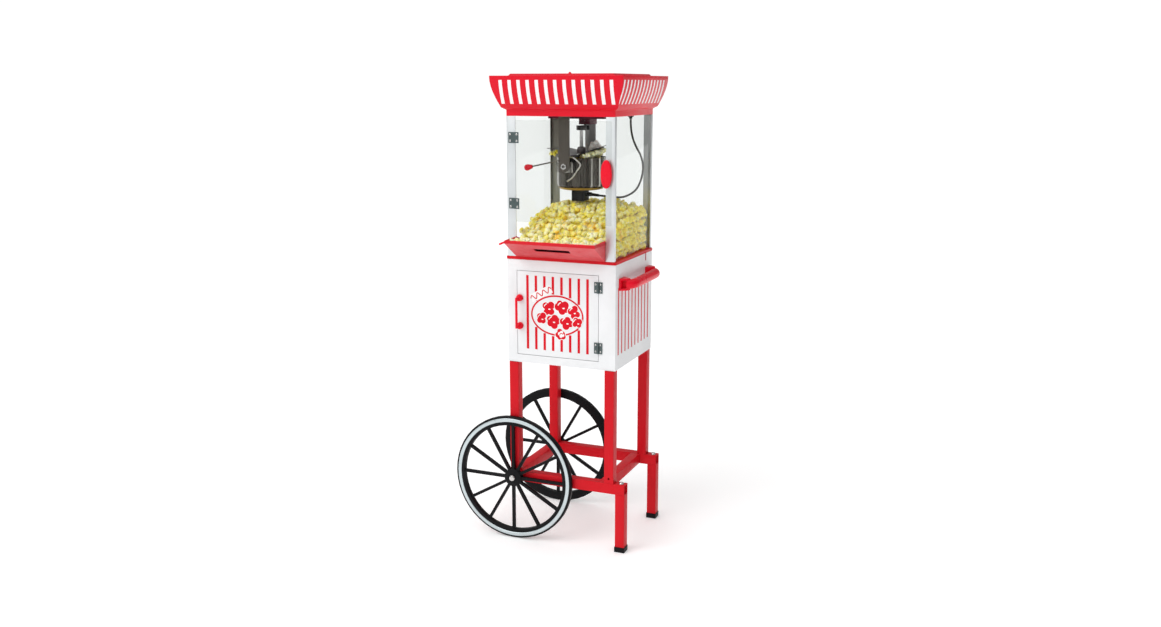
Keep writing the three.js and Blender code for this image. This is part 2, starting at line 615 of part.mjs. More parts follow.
function addSupply() {
  PLUG.out.normalize();
  const boot = turned([[0, 0], [5.6, 0], [5.6, 12], [4.2, 14], [3.4, PLUG.length], [0, PLUG.length]], 16);
  const connector = piece('kettle_connector', solid(boot), BLACK_PLASTIC);
  connector.quaternion.setFromUnitVectors(new THREE.Vector3(0, 0, 1), PLUG.out);
  connector.position.copy(PLUG.start);
  const { x, y, nose } = GLAND;
  const grommet = turned([[0, nose], [3.6, nose], [4.6, nose + 5], [8, nose + 6],
    [8, CEILING.bottom - GAP], [0, CEILING.bottom - GAP]], 16);
  piece('cord_gland', solid(grommet.translate(x, y, 0)), BLACK_PLASTIC);
  const first = PLUG.start.clone().addScaledVector(PLUG.out, PLUG.length + 3 * GAP);
  const last = new THREE.Vector3(x, y, nose - 2 * GAP);
  const route = [first, ...CORD.map((p) => new THREE.Vector3(...p)), last];
  piece('kettle_cord', swept(new THREE.CatmullRomCurve3(route), CORD_R, 30, 10), BLACK_PLASTIC);
}

// ---------------------------------------------------------------- assembly

addLegs();
addBeams();
addCrossbars();
addFeet();
addAxle();
addWheels();
addCabinet();
addCabinetDoor();
addDoorHandle();
addPushHandle();
addBasePlate();
addPosts();
addPanes();
addGlassDoor();
addServingTray();
addCanopy();
addCeiling();
addMotor();
addStraps();
addPot();
addKettleBase();
addLids();
addStirrer();
addTiltHandle();
addPivotNuts();
addSupply();

// Centre the cart's box on the origin, standing on z = 0.
const centre = new THREE.Box3().setFromObject(cart).getCenter(new THREE.Vector3());
cart.position.set(-centre.x, -centre.y, 0);

export default cart;
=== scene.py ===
"""Looks of the popcorn cart: materials, edges, printing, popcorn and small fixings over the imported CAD."""

import json
import math
import random

import bmesh
import bpy
from mathutils import Euler, Matrix, Vector, noise


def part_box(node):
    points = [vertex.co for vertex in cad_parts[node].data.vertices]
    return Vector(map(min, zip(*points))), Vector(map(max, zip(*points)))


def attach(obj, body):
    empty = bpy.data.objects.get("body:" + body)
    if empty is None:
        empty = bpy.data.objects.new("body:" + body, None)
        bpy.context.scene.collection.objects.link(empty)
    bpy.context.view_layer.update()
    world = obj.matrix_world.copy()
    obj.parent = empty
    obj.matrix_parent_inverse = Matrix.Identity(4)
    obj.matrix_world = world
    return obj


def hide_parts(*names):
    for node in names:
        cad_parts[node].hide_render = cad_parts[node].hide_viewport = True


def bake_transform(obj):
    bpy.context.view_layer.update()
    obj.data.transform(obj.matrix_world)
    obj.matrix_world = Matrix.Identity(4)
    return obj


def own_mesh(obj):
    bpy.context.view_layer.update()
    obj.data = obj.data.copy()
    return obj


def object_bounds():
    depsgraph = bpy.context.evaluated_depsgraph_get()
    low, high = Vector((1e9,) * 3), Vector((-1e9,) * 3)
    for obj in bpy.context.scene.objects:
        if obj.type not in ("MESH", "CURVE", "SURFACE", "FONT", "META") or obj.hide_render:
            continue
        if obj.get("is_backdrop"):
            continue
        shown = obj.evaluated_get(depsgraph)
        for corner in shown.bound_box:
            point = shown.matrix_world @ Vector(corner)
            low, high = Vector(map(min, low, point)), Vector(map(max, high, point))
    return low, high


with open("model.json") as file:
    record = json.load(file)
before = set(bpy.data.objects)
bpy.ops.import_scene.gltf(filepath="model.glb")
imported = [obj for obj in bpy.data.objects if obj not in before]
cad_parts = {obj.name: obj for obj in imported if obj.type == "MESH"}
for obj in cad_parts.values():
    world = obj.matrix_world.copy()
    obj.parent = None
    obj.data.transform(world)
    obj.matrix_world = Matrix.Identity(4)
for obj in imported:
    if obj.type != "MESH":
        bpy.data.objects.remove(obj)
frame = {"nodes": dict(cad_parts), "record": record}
CAD_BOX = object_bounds()

BODY_OF = {node: body for body, nodes in frame["record"]["behaviour"]["bodies"].items() for node in nodes}
SLOT_OF = {part["node"]: part["material_slot"] for part in frame["record"]["subparts"]}
CABINET = [Vector(corner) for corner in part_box("cabinet_shell")]
MIDDLE = Vector(((CABINET[0].x + CABINET[1].x) / 2, (CABINET[0].y + CABINET[1].y) / 2, 0))


def at(x, y, z):
    """A point given in millimetres from the cabinet's centre line, as metres in the cart's frame."""
    return Vector((x, y, z)) / 1000 + MIDDLE


# ---------------------------------------------------------------- camera


def add_camera():
    eye, target = at(1093.0, -2655.9, 1186.0), at(-5.4, 0, 591.5)
    data = bpy.data.cameras.new("camera")
    data.lens = 34.35
    data.sensor_width = 36
    data.shift_x = 0.00087
    camera = bpy.data.objects.new("camera", data)
    bpy.context.collection.objects.link(camera)
    camera.location = eye
    camera.rotation_euler = (target - eye).to_track_quat("-Z", "Y").to_euler()
    bpy.context.scene.camera = camera


add_camera()

# ---------------------------------------------------------------- materials


class Nodes:
    """A short way to write a node tree."""

    def __init__(self, name):
        self.material = bpy.data.materials.new(name)
        self.material.use_nodes = True
        self.tree = self.material.node_tree
        self.shader = self.tree.nodes["Principled BSDF"]
        self.coords = self.add("ShaderNodeTexCoord").outputs["Object"]

    def add(self, kind, inputs=(), **settings):
        node = self.tree.nodes.new(kind)
        for key, value in settings.items():
            setattr(node, key, value)
        for key, value in dict(inputs).items():
            if isinstance(value, bpy.types.NodeSocket):
                self.tree.links.new(value, node.inputs[key])
            else:
                node.inputs[key].default_value = value
        return node

    def noise(self, scale, detail=3, rough=0.5, stretch=None):
        vector = self.coords
        if stretch:
            vector = self.add("ShaderNodeMapping", {"Vector": vector, "Scale": stretch}).outputs[0]
        inputs = {"Vector": vector, "Scale": scale, "Detail": detail, "Roughness": rough}
        return self.add("ShaderNodeTexNoise", inputs).outputs["Fac"]

    def math(self, operation, a, b=0.0, c=0.0):
        return self.add("ShaderNodeMath", {0: a, 1: b, 2: c}, operation=operation).outputs[0]

    def remap(self, value, low, high, to_low=0.0, to_high=1.0):
        inputs = {"Value": value, 1: low, 2: high, 3: to_low, 4: to_high}
        return self.add("ShaderNodeMapRange", inputs).outputs[0]

    def mix(self, factor, a, b):
        node = self.add("ShaderNodeMix", data_type="RGBA")
        for socket, value in ((0, factor), (6, a), (7, b)):
            if isinstance(value, bpy.types.NodeSocket):
                self.tree.links.new(value, node.inputs[socket])
            else:
                node.inputs[socket].default_value = value
        return node.outputs[2]

    def bump(self, height, strength, distance):
        inputs = {"Height": height, "Strength": strength, "Distance": distance}
        self.link(self.add("ShaderNodeBump", inputs).outputs[0], "Normal")

    def link(self, socket, name):
        self.tree.links.new(socket, self.shader.inputs[name])

    def set(self, **values):
        for name, value in values.items():
            self.shader.inputs[name.replace("_", " ")].default_value = value
        return self


PAINT_IOR = 1.2  # low, so that grazing light leaves the colours deep


def shade(colour, factor):
    return tuple(min(1, c * factor) for c in colour[:3]) + (1,)


def painted(name, colour, rough, grain=0.12, gloss=1.0, pale_patch_colour=None):
    """Sprayed paint or a moulding: slight mottling, a fine orange-peel skin, and scuffs in the gloss."""
    n = Nodes(name)
    tone = n.remap(n.noise(9, 5, 0.6), 0.3, 0.7)
    tint = n.mix(tone, shade(colour, 0.93), shade(colour, 1.05))
    # Pale pink patches from a patchy noise, only below the tray's rim height.
    if pale_patch_colour:
        patchiness = n.math("MULTIPLY", n.noise(26, 6, 0.65), n.noise(4, 2))
        below = n.math("LESS_THAN", n.add("ShaderNodeSeparateXYZ", {0: n.coords}).outputs[2], 0.7995)
        tint = n.mix(n.math("MULTIPLY", below, n.remap(patchiness, 0.12, 0.42, 0.1, 0.6)), tint, pale_patch_colour)
    n.link(tint, "Base Color")
    scuff = n.noise(60, 6, 0.7)
    n.link(n.remap(scuff, 0.35, 0.75, rough - 0.05, rough + 0.1), "Roughness")
    n.bump(n.noise(850, 2), grain, 0.00008)
    n.set(Specular_IOR_Level=gloss, IOR=PAINT_IOR)
    return n.material


def brushed(name, colour, rough, stretch, tone=(0.82, 1.1)):
    """Bare metal with a drawn or brushed grain along one axis."""
    n = Nodes(name)
    grain = n.noise(700, 4, 0.6, stretch)
    n.link(n.mix(n.noise(14, 4), shade(colour, tone[0]), shade(colour, tone[1])), "Base Color")
    n.link(n.remap(grain, 0.3, 0.7, rough - 0.08, rough + 0.12), "Roughness")
    n.bump(grain, 0.12, 0.00006)
    n.set(Metallic=1.0)
    return n.material


def kettle_steel():
    """Polished steel with the dark case around it painted into its colour as soft upright bands: painted
    reflection.
    """
    n = Nodes("kettle_steel")
    painted_reflection_streaks = n.noise(62, 2, 0.5, (1, 1, 0.02))
    fine = n.noise(190, 3, 0.6, (1, 1, 0.02))
    painted_reflection = n.math("ADD", n.math("MULTIPLY", painted_reflection_streaks, 0.8), n.math("MULTIPLY", fine, 0.2))
    # The ramp turns the bands into dark and bright painted reflections in the base colour.
    ramp = n.add("ShaderNodeValToRGB", {"Fac": painted_reflection})
    stops = ramp.color_ramp
    stops.elements[0].position, stops.elements[0].color = 0.42, (0.045, 0.04, 0.033, 1)
    stops.elements[1].position, stops.elements[1].color = 0.61, (0.62, 0.61, 0.56, 1)
    middle = stops.elements.new(0.54)
    middle.color = (0.10, 0.093, 0.08, 1)
    n.link(ramp.outputs[0], "Base Color")
    n.link(n.remap(fine, 0.3, 0.7, 0.16, 0.34), "Roughness")
    n.bump(n.noise(400, 3, 0.6, (1, 1, 0.1)), 0.08, 0.00005)
    n.set(Metallic=1.0)
    return n.material


def clear_glass():
    """A thin pane: mostly see-through, with a faint green edge tint and real reflections."""
    n = Nodes("glass")
    smear = n.noise(5, 4, 0.6)
    tint = n.mix(smear, (0.925, 0.935, 0.93, 1), (0.945, 0.95, 0.945, 1))
    seen = n.add("ShaderNodeLightPath").outputs["Is Camera Ray"]
    through = n.add("ShaderNodeBsdfTransparent", {"Color": n.mix(seen, (0.985, 0.985, 0.985, 1), tint)})
    gloss = n.add("ShaderNodeBsdfGlossy", {"Color": (0.95, 0.97, 0.97, 1)})
    n.tree.links.new(n.remap(smear, 0.3, 0.7, 0.01, 0.05), gloss.inputs["Roughness"])
    bounce = n.add("ShaderNodeFresnel", {"IOR": 1.3}).outputs[0]
    back = n.add("ShaderNodeNewGeometry").outputs["Backfacing"]
    share = n.math("MULTIPLY", n.math("MULTIPLY", bounce, 0.6), n.math("SUBTRACT", 1.0, back))
    mix = n.add("ShaderNodeMixShader", {0: share, 1: through.outputs[0], 2: gloss.outputs[0]})
    n.tree.links.new(mix.outputs[0], n.tree.nodes["Material Output"].inputs["Surface"])
    return n.material


STIRRER = {"hub": 1.0306, "roller": 1.0712}
ROOF = {"pitch": 0.0243, "half": 0.0045, "low": 1.139, "high": 1.1965}


def striped_roof(colour):
    """Red moulding with a row of white printed bars round the flare."""
    n = Nodes("striped_roof")
    xyz = n.add("ShaderNodeSeparateXYZ", {0: n.coords})
    facing = n.add("ShaderNodeSeparateXYZ", {0: n.add("ShaderNodeNewGeometry").outputs["True Normal"]})
    sideways = n.math("GREATER_THAN", n.math("ABSOLUTE", facing.outputs[0]),
                      n.math("ABSOLUTE", facing.outputs[1]))

    def bars(along, centre, reach):
        from_middle = n.math("SUBTRACT", along, centre)
        offset = n.math("SUBTRACT", n.math("FRACT", n.math("ADD", n.math(
            "DIVIDE", from_middle, ROOF["pitch"]), 100.5)), 0.5)
        on = n.math("LESS_THAN", n.math("ABSOLUTE", offset), ROOF["half"] / ROOF["pitch"])
        inside = n.math("LESS_THAN", n.math("ABSOLUTE", from_middle), reach)
        return n.math("MULTIPLY", on, inside)

    front = bars(xyz.outputs[0], MIDDLE.x, 0.1515)
    side = bars(xyz.outputs[1], MIDDLE.y + 0.00125 - ROOF["pitch"] / 2, 0.1515)
    height = n.math("MULTIPLY", n.math("GREATER_THAN", xyz.outputs[2], ROOF["low"]),
                    n.math("LESS_THAN", xyz.outputs[2], ROOF["high"]))
    chosen = n.math("ADD", n.math("MULTIPLY", front, n.math("SUBTRACT", 1.0, sideways)),
                    n.math("MULTIPLY", side, sideways))
    mask = n.math("MULTIPLY", chosen, height)
    red = n.mix(n.remap(n.noise(7, 4), 0.3, 0.7), shade(colour, 0.92), shade(colour, 1.06))
    ink = n.mix(n.noise(150, 3), (0.86, 0.80, 0.82, 1), (0.95, 0.93, 0.94, 1))
    n.link(n.mix(mask, red, ink), "Base Color")
    n.link(n.remap(n.noise(45, 5, 0.7), 0.3, 0.75, 0.26, 0.4), "Roughness")
    n.bump(n.math("ADD", n.math("MULTIPLY", n.noise(600, 2), 0.2), mask), 0.25, 0.00012)
    n.set(Specular_IOR_Level=0.9, IOR=PAINT_IOR)
    return n.material


def popcorn_material(name, butter_from, butter_to):
    """Butterfly flakes: cream puffs, buttery yellow over some of them and more towards the right pane,
    painted light that leaves them paler towards the front, and ochre painted shade in their crevices.
    """
    n = Nodes(name)
    place_in_case = n.add("ShaderNodeSeparateXYZ", {0: n.coords})
    # Painted light: less butter yellow towards the front, so the flakes there read paler and brighter.
    front = n.remap(place_in_case.outputs[1], MIDDLE.y - 0.2, MIDDLE.y - 0.04, -0.55, 0.0)
    right = n.remap(place_in_case.outputs[0], MIDDLE.x + 0.1, MIDDLE.x + 0.13, 0.0, 0.35)
    patches = n.remap(n.noise(52, 3, 0.65), butter_from, butter_to)
    butter = n.math("ADD", patches, n.math("ADD", front, right))
    # Painted shade: ochre in a fine noise stands for the shade in the crevices.
    crevice_shade = n.remap(n.noise(230, 4, 0.6), 0.55, 0.72)
    base = n.mix(butter, (1.0, 0.97, 0.62, 1), (1.0, 0.80, 0.045, 1))
    deep = n.mix(n.remap(n.noise(33, 2), 0.57, 0.69, 0.0, 0.8), base, (0.96, 0.56, 0.03, 1))
    n.link(n.mix(n.math("MULTIPLY", crevice_shade, 0.25), deep, (0.80, 0.46, 0.02, 1)), "Base Color")
    n.link(n.remap(n.noise(90, 3), 0.3, 0.7, 0.5, 0.75), "Roughness")
    n.bump(n.noise(330, 5, 0.7), 0.6, 0.0009)
    n.set(Subsurface_Weight=0.6, Subsurface_Scale=0.008, Subsurface_Radius=(1.0, 0.85, 0.35))
    return n.material


def pale_popcorn_material():
    """Plain unbuttered flakes: cream, with a faint pinkish-brown painted shade in their crevices."""
    n = Nodes("popcorn_pale")
    base = n.mix(n.remap(n.noise(70, 4), 0.35, 0.65), (0.98, 0.90, 0.84, 1), (1.0, 0.96, 0.90, 1))
    n.link(n.mix(n.remap(n.noise(230, 4), 0.56, 0.74, 0.0, 0.3), base, (0.80, 0.52, 0.30, 1)), "Base Color")
    n.link(n.remap(n.noise(90, 3), 0.3, 0.7, 0.5, 0.75), "Roughness")
    n.bump(n.noise(420, 5, 0.7), 0.5, 0.0006)
    n.set(Subsurface_Weight=0.3, Subsurface_Scale=0.005, Subsurface_Radius=(1.0, 0.8, 0.6))
    return n.material


def stirrer_steel():
    """Steel shaft with a dark hub low down and a black rubber roller at the top."""
    n = Nodes("stirrer_steel")
    height = n.add("ShaderNodeSeparateXYZ", {0: n.coords}).outputs[2]
    roller = n.math("GREATER_THAN", height, STIRRER["roller"])
    hub = n.math("LESS_THAN", height, STIRRER["hub"])
    shaft = n.mix(n.noise(60, 3, 0.5, (1, 1, 0.1)), (0.34, 0.33, 0.33, 1), (0.52, 0.51, 0.50, 1))
    lower = n.mix(hub, shaft, (0.13, 0.115, 0.115, 1))
    n.link(n.mix(roller, lower, (0.012, 0.012, 0.012, 1)), "Base Color")
    n.link(n.math("SUBTRACT", 1.0, roller), "Metallic")
    n.link(n.remap(n.noise(90, 3), 0.3, 0.7, 0.28, 0.42), "Roughness")
    n.bump(n.noise(500, 2), 0.1, 0.00005)
    return n.material


def lid_steel(name, dark_to, light_from):
    """Lid sheet that is darker towards one end along X and lighter towards the other."""
    n = Nodes(name)
    along = n.add("ShaderNodeSeparateXYZ", {0: n.coords}).outputs[0]
    darker_end_tone = n.mix(n.noise(40, 4), (0.045, 0.04, 0.037, 1), (0.09, 0.083, 0.078, 1))
    plain = n.mix(n.noise(40, 4), (0.20, 0.19, 0.185, 1), (0.30, 0.285, 0.28, 1))
    n.link(n.mix(n.remap(along, dark_to, light_from), darker_end_tone, plain), "Base Color")
    n.link(n.remap(n.noise(300, 3, 0.6, (1, 0.1, 1)), 0.3, 0.7, 0.3, 0.45), "Roughness")
    n.bump(n.noise(300, 3, 0.6, (1, 0.1, 1)), 0.1, 0.00005)
    n.set(Metallic=1.0)
    return n.material


def handle_steel():
    """Rod with a painted highlight where it bends round the kettle, and darker steel towards its knob."""
    n = Nodes("handle_steel")
    along = n.add("ShaderNodeSeparateXYZ", {0: n.coords}).outputs[0]
    bend_highlight_mask = n.remap(along, MIDDLE.x - 0.03, MIDDLE.x - 0.015)
    rod_tone = n.mix(n.noise(30, 3), (0.10, 0.095, 0.08, 1), (0.19, 0.18, 0.16, 1))
    # Painted highlight: the bend gets a bright colour in place of a real reflection.
    n.link(n.mix(bend_highlight_mask, rod_tone, (0.62, 0.60, 0.57, 1)), "Base Color")
    n.link(n.remap(n.noise(120, 3), 0.3, 0.7, 0.24, 0.4), "Roughness")
    n.bump(n.noise(500, 2), 0.1, 0.00005)
    n.set(Metallic=1.0)
    return n.material


def shaded_post():
    """The far left post, with the dark case and the popcorn it faces painted into its colour as painted
    reflection, darker towards the top.
    """
    n = Nodes("shaded_post")
    height = n.add("ShaderNodeSeparateXYZ", {0: n.coords}).outputs[2]
    wander = n.math("ADD", height, n.math("MULTIPLY", n.noise(6, 3), 0.05))
    low = n.mix(n.noise(240, 3, 0.5, (1, 1, 0.01)), (0.17, 0.17, 0.11, 1), (0.42, 0.42, 0.38, 1))
    high = n.mix(n.noise(240, 3, 0.5, (1, 1, 0.01)), (0.07, 0.058, 0.045, 1), (0.20, 0.18, 0.15, 1))
    n.link(n.mix(n.remap(wander, 0.96, 1.08), low, high), "Base Color")
    grain = n.noise(700, 4, 0.6, (1, 1, 0.02))
    n.link(n.remap(grain, 0.3, 0.7, 0.36, 0.54), "Roughness")
    n.bump(grain, 0.12, 0.00006)
    n.set(Metallic=0.8)
    return n.material


RED_PAINT = painted("red_paint", (0.60, 0.008, 0.016), 0.38, gloss=0.6)
RED_PLASTIC = painted("red_plastic", (0.80, 0.004, 0.022), 0.3, gloss=0.9)
TRAY_RED = painted("tray_red", (0.62, 0.012, 0.022), 0.42, gloss=0.9, pale_patch_colour=(0.80, 0.24, 0.25, 1))
WHITE = painted("white_paint", (0.80, 0.81, 0.82), 0.34)
BLACK = painted("black_plastic", (0.005, 0.005, 0.006), 0.4, grain=0.3, gloss=0.6)
# Dark maroon as painted shade: red parts that sit in shadow, and the pocket behind the tray's finger slot.
SHADE_MAROON = painted("maroon_paint", (0.075, 0.004, 0.014), 0.45)
ALUMINIUM = brushed("aluminium", (0.70, 0.73, 0.74), 0.42, (1, 1, 0.02))
DARK_STEEL = brushed("dark_steel", (0.10, 0.088, 0.075), 0.42, (1, 1, 0.03))
# Painted light: a lighter copy of the strap steel for the back strap.
LIT_STRAP_STEEL = brushed("back_steel", (0.21, 0.205, 0.20), 0.42, (1, 1, 0.03))
RING_STEEL = brushed("ring_steel", (0.60, 0.67, 0.69), 0.3, (1, 1, 1))
HANDLE_STEEL = handle_steel()
LEFT_LID = lid_steel("left_lid", MIDDLE.x - 0.062, MIDDLE.x - 0.04)
RIGHT_LID = lid_steel("right_lid", MIDDLE.x + 0.08, MIDDLE.x + 0.2)
HINGE_STEEL = brushed("hinge_steel", (0.11, 0.14, 0.14), 0.4, (0.05, 1, 1))
BRIGHT_STEEL = brushed("bright_steel", (0.62, 0.61, 0.60), 0.2, (1, 1, 0.2))
BRASS = brushed("brass", (0.56, 0.38, 0.13), 0.3, (0.2, 0.2, 1))
CORD_BLACK = painted("cord_black", (0.022, 0.018, 0.014), 0.5, grain=0.5)
INK_RED = painted("ink_red", (0.66, 0.006, 0.018), 0.4, gloss=0.5)
INK_WHITE = painted("ink_white", (0.88, 0.88, 0.87), 0.4)
KETTLE_STEEL = kettle_steel()
STIRRER_STEEL = stirrer_steel()
SHADED_POST = shaded_post()
GLASS = clear_glass()
STRIPED_ROOF = striped_roof((0.72, 0.004, 0.02))
POPCORN = popcorn_material("popcorn", 0.36, 0.58)
POPCORN_LIGHT = popcorn_material("popcorn_light", 0.48, 0.8)
POPCORN_PALE = pale_popcorn_material()

MATERIAL_OF = {
    "red_paint": RED_PAINT,
    "red_plastic": RED_PLASTIC,
    "maroon_paint": SHADE_MAROON,
    "white_paint": WHITE,
    "black_plastic": BLACK,
    "aluminium": ALUMINIUM,
    "dark_steel": DARK_STEEL,
    "hinge_steel": HINGE_STEEL,
    "kettle_steel": KETTLE_STEEL,
    "bright_steel": BRIGHT_STEEL,
    "brass": BRASS,
    "glass": GLASS,
    "cord_black": CORD_BLACK,
}

# ---------------------------------------------------------------- mesh helpers


def add_piece(name, bm, material, body, slot, smooth=40):
    mesh = bpy.data.meshes.new(name)
    bmesh.ops.recalc_face_normals(bm, faces=bm.faces)
    bm.to_mesh(mesh)
    bm.free()
    mesh.materials.append(material)
    mesh.shade_smooth()
    mesh.set_sharp_from_angle(angle=math.radians(smooth))
    obj = bpy.data.objects.new(name, mesh)
    bpy.context.collection.objects.link(obj)
    if body:
        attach(obj, body)
    return obj


def skin(node, material, bevel):
    """A copy of a CAD node with its sharp edges rounded over and its curved faces shaded smooth."""
    bm = bmesh.new()
    bm.from_mesh(frame["nodes"][node].data)
    bmesh.ops.remove_doubles(bm, verts=bm.verts, dist=1e-6)
    bmesh.ops.dissolve_limit(bm, angle_limit=math.radians(1), verts=bm.verts, edges=bm.edges)
    sharp = [e for e in bm.edges if len(e.link_faces) == 2 and e.calc_face_angle(0) > math.radians(38)]
    if bevel:
        bmesh.ops.bevel(bm, geom=sharp, offset=bevel, segments=2, profile=0.6, affect="EDGES",
                        clamp_overlap=True)
    piece = add_piece(f"{node}_skin", bm, material, BODY_OF[node], SLOT_OF[node], smooth=50)
    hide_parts(node)
    return piece


def turned(profile, segments=48):
    """A profile of (radius, height) in millimetres turned round Z, in metres."""
    bm = bmesh.new()
    rings = []
    for radius, height in profile:
        if radius < 1e-6:
            rings.append([bm.verts.new((0, 0, height / 1000))])
            continue
        angles = [2 * math.pi * i / segments for i in range(segments)]
        rings.append([bm.verts.new((radius * math.cos(a) / 1000, radius * math.sin(a) / 1000,
                                    height / 1000)) for a in angles])
    for low, high in zip(rings, rings[1:]):
        for i in range(segments):
            corners = [low[i % len(low)], low[(i + 1) % len(low)],
                       high[(i + 1) % len(high)], high[i % len(high)]]
            unique = list(dict.fromkeys(corners))
            if len(unique) > 2:
                bm.faces.new(unique)
    return bm


def ring_of(profile, segments=96):
    """A closed profile turned round Z, such as a band."""
    return turned(list(profile) + [profile[0]], segments)


def place(bm, point, direction=(0, 0, 1), spin=0.0):
    """Turn a shape made round Z to face a direction, and move it."""
    turn = Vector((0, 0, 1)).rotation_difference(Vector(direction)).to_matrix().to_4x4()
    matrix = Matrix.Translation(point) @ turn @ Matrix.Rotation(spin, 4, "Z")
    bmesh.ops.transform(bm, matrix=matrix, verts=bm.verts)
    return bm


def join(parts):
    whole = bmesh.new()
    for part in parts:
        mesh = bpy.data.meshes.new("part")
        part.to_mesh(mesh)
        part.free()
        whole.from_mesh(mesh)
        bpy.data.meshes.remove(mesh)
    return whole


def screw(radius, height):
    """A pan-head screw standing on z = 0, with a flat cross on its top that stands for its cross recess."""
    bm = turned([(0, 0), (radius, 0), (radius, height * 0.45), (radius * 0.72, height * 0.88),
                 (radius * 0.3, height), (0, height)], 20)
    arms = []
    for spin in (0, math.pi / 2):
        arm = bmesh.new()
        bmesh.ops.create_cube(arm, size=1)
        size = Vector((radius * 1.1, radius * 0.22, height * 0.1)) / 1000
        lift = Matrix.Translation((0, 0, height / 1000))
        bmesh.ops.transform(arm, matrix=Matrix.Rotation(spin, 4, "Z") @ lift @ Matrix.Diagonal(
            size.to_4d()), verts=arm.verts)
        arms.append(arm)
    return bm, arms


def add_screws(name, places, direction, radius, height, body):
    """Screws at the given points, as one piece of heads and one of dark crosses on them that paint the shade
    in each cross recess.
    """
    heads, shade_crosses = [], []
    for i, point in enumerate(places):
        head, arms = screw(radius, height)
        heads.append(place(head, point, direction, i * 0.9))
        shade_crosses += [place(arm, point, direction, i * 0.9) for arm in arms]
    add_piece(f"{name}_heads", join(heads), BRIGHT_STEEL, body, "bright_steel")
    add_piece(f"{name}_recess_shades", join(shade_crosses), DARK_STEEL, body, "dark_steel")


def tube(points, radius, sides=16):
    """A round tube in metres along a list of points, closed at both ends."""
    bm = bmesh.new()
    rings = []
    side = None
    for i, point in enumerate(points):
        ahead = points[min(i + 1, len(points) - 1)]
        behind = points[max(i - 1, 0)]
        along = (ahead - behind).normalized()
        if side is None:
            side = along.orthogonal().normalized()
        side = (side - along * side.dot(along)).normalized()
        other = along.cross(side)
        angles = [2 * math.pi * k / sides for k in range(sides)]
        rings.append([bm.verts.new(point + (side * math.cos(a) + other * math.sin(a)) * radius)
                      for a in angles])
    for low, high in zip(rings, rings[1:]):
        for k in range(sides):
            bm.faces.new((low[k], low[(k + 1) % sides], high[(k + 1) % sides], high[k]))
    bm.faces.new(rings[0])
    bm.faces.new(rings[-1])
    return bm


def through(points, per_span=8):
    """A smooth curve through points (a centripetal Catmull-Rom spline)."""
    knots = [points[0] * 2 - points[1]] + list(points) + [points[-1] * 2 - points[-2]]
    curve = []
    for a, b, c, d in zip(knots, knots[1:], knots[2:], knots[3:]):
        t1 = (b - a).length ** 0.5
        t2 = t1 + (c - b).length ** 0.5
        t3 = t2 + (d - c).length ** 0.5
        for k in range(per_span):
            t = t1 + (t2 - t1) * k / per_span
            p = a * ((t1 - t) / t1) + b * (t / t1)
            q = b * ((t2 - t) / (t2 - t1)) + c * ((t - t1) / (t2 - t1))
            r = c * ((t3 - t) / (t3 - t2)) + d * ((t - t2) / (t3 - t2))
            u = p * ((t2 - t) / t2) + q * (t / t2)
            v = q * ((t3 - t) / (t3 - t1)) + r * ((t - t1) / (t3 - t1))
            curve.append(u * ((t2 - t) / (t2 - t1)) + v * ((t - t1) / (t2 - t1)))
    return curve + [points[-1]]


# ---------------------------------------------------------------- kettle cord

CORD_ROUTE = [
    (50.0, 0.1, 905.9), (57, 1.5, 905.4), (64, 7, 904.3), (75, 18, 902), (86, 31, 900),
    (97, 50, 899.5), (108, 72, 905), (116, 86, 913), (121.5, 96, 924), (127, 108, 948),
    (128.5, 112, 976), (124.5, 105, 1003.5), (118, 93, 1023), (113, 80, 1044), (112, 67, 1066),
    (112, 61, 1086), (112, 60, 1098.4),
]


CORD_DIAMETER = 0.0052


def add_kettle_cord():
    """The kettle's cord, from its connector up to the ceiling's gland."""
    route = through([at(*p) for p in CORD_ROUTE], 6)
    length = sum((b - a).length for a, b in zip(route, route[1:]))
    bm = tube(route, CORD_DIAMETER / 2, 16)
    piece = add_piece("kettle_cord_sheath", bm, CORD_BLACK, None, "cord_black")
    tuple(route[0])
    tuple(route[-1])
    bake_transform(piece)
    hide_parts("kettle_cord")
    tuple(route[-1])
    [tuple(p) for p in reversed(route)]


add_kettle_cord()

# ---------------------------------------------------------------- CAD surfaces

BEVEL_OF = {
    "red_paint": 0.0008,
    "red_plastic": 0.0012,
    "white_paint": 0.0005,
    "black_plastic": 0.0007,
    "aluminium": 0.0004,
    "glass": 0.0004,
}
SPECIAL = {
    "canopy": STRIPED_ROOF,
    "serving_tray": TRAY_RED,
    "stirrer": STIRRER_STEEL,
    "post_back_left": SHADED_POST,
    "tilt_handle": HANDLE_STEEL,
    "strap_back": LIT_STRAP_STEEL,
    "kettle_lid_left": LEFT_LID,
    "kettle_lid_right": RIGHT_LID,
}


def skin_everything():
    for node in frame["nodes"]:
        if node == "kettle_cord":
            continue
        slot = SLOT_OF[node]
        skin(node, SPECIAL.get(node, MATERIAL_OF[slot]), BEVEL_OF.get(slot, 0.0003))


skin_everything()

# ---------------------------------------------------------------- stand details


WHEEL = {"x": -133, "face": 153.6, "z": 167.5}


def add_wheel_rings():
    """A bright band let into the outer face of each rim."""
    profile = [(152.3, -2.0), (152.3, 0.6), (153.4, 1.3), (161.0, 1.3), (162.2, 0.6), (162.2, -2.0)]
    for side, sy in (("front", -1), ("back", 1)):
        ring = place(ring_of(profile, 128), at(WHEEL["x"], sy * WHEEL["face"], WHEEL["z"]), (0, sy, 0))
        add_piece(f"wheel_{side}_ring", ring, RING_STEEL, f"wheel_{side}", "bright_steel", smooth=60)


add_wheel_rings()

# ---------------------------------------------------------------- hinge screws


